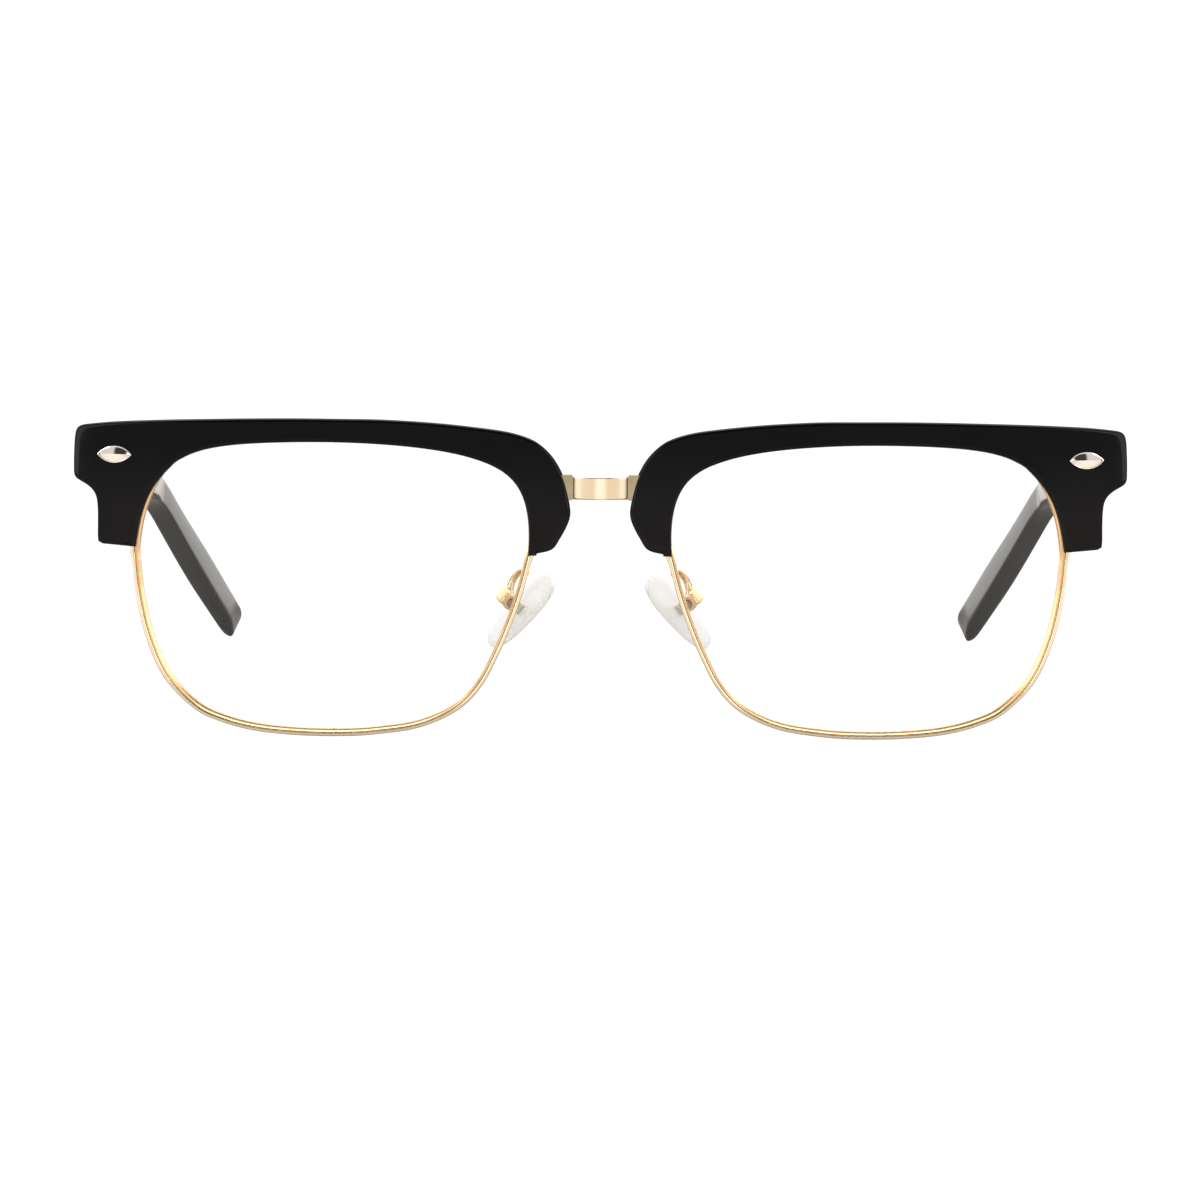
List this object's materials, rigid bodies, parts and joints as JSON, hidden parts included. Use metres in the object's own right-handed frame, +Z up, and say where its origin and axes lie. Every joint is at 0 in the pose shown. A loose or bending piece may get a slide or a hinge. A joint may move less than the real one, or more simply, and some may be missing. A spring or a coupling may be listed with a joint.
{
  "type": "browline eyeglasses",
  "caption": "Browline eyeglasses with gloss brows over thin gold rims, clear lenses, folding temples and nose pads on wire arms that rock a little.",
  "frame": {"origin": "centre of the bounding box in X and Y, on the surface the open glasses stand on", "axes": "+X to the right when seen from the front (towards the wearer's left), +Y back along the temples, +Z up"},
  "size_m": [0.1454, 0.151, 0.0442],
  "materials": {
    "brow_acetate": "gloss",
    "temple_acetate": "satin",
    "gold_metal": "polished",
    "silver_metal": "polished",
    "clear_lens": "polished",
    "clear_pad": "gloss"
  },
  "bodies": {
    "front": {"bridge": "gold_metal", "left_brow": "brow_acetate", "left_rim": "gold_metal", "left_lens": "clear_lens", "left_bridge_lug": "gold_metal", "left_pad_arm": "gold_metal", "left_pad_box": "gold_metal", "left_pad_screw": "silver_metal", "left_trim_rivet": "silver_metal", "left_front_hinge": "gold_metal", "left_hinge_screw": "silver_metal", "left_rim_lock_upper": "gold_metal", "left_rim_lock_lower": "gold_metal", "left_rim_lock_screw": "silver_metal", "right_brow": "brow_acetate", "right_rim": "gold_metal", "right_lens": "clear_lens", "right_bridge_lug": "gold_metal", "right_pad_arm": "gold_metal", "right_pad_box": "gold_metal", "right_pad_screw": "silver_metal", "right_trim_rivet": "silver_metal", "right_front_hinge": "gold_metal", "right_hinge_screw": "silver_metal", "right_rim_lock_upper": "gold_metal", "right_rim_lock_lower": "gold_metal", "right_rim_lock_screw": "silver_metal"},
    "left_temple": {"left_temple": "temple_acetate", "left_temple_hinge": "gold_metal", "left_temple_rivets": "silver_metal"},
    "left_nose_pad": {"left_nose_pad": "clear_pad", "left_pad_insert": "silver_metal"},
    "right_temple": {"right_temple": "temple_acetate", "right_temple_hinge": "gold_metal", "right_temple_rivets": "silver_metal"},
    "right_nose_pad": {"right_nose_pad": "clear_pad", "right_pad_insert": "silver_metal"}
  },
  "joints": [
    {"name": "left_temple_fold", "type": "hinge", "parent": "front", "child": "left_temple", "pos_m": [0.0669, -0.0611, 0.0389], "axis": [0, 0.1184, 0.993], "range_deg": [0, 87]},
    {"name": "right_temple_fold", "type": "hinge", "parent": "front", "child": "right_temple", "pos_m": [-0.0669, -0.0611, 0.0389], "axis": [0, -0.1184, -0.993], "range_deg": [0, 75]},
    {"name": "left_pad_rock", "type": "hinge", "parent": "front", "child": "left_nose_pad", "pos_m": [0.01255, -0.06623, 0.01876], "axis": [0.3374, 0.891, 0.3038], "range_deg": [-8, 8]},
    {"name": "right_pad_rock", "type": "hinge", "parent": "front", "child": "right_nose_pad", "pos_m": [-0.01255, -0.06623, 0.01876], "axis": [-0.3374, 0.891, 0.3038], "range_deg": [-8, 8]}
  ]
}
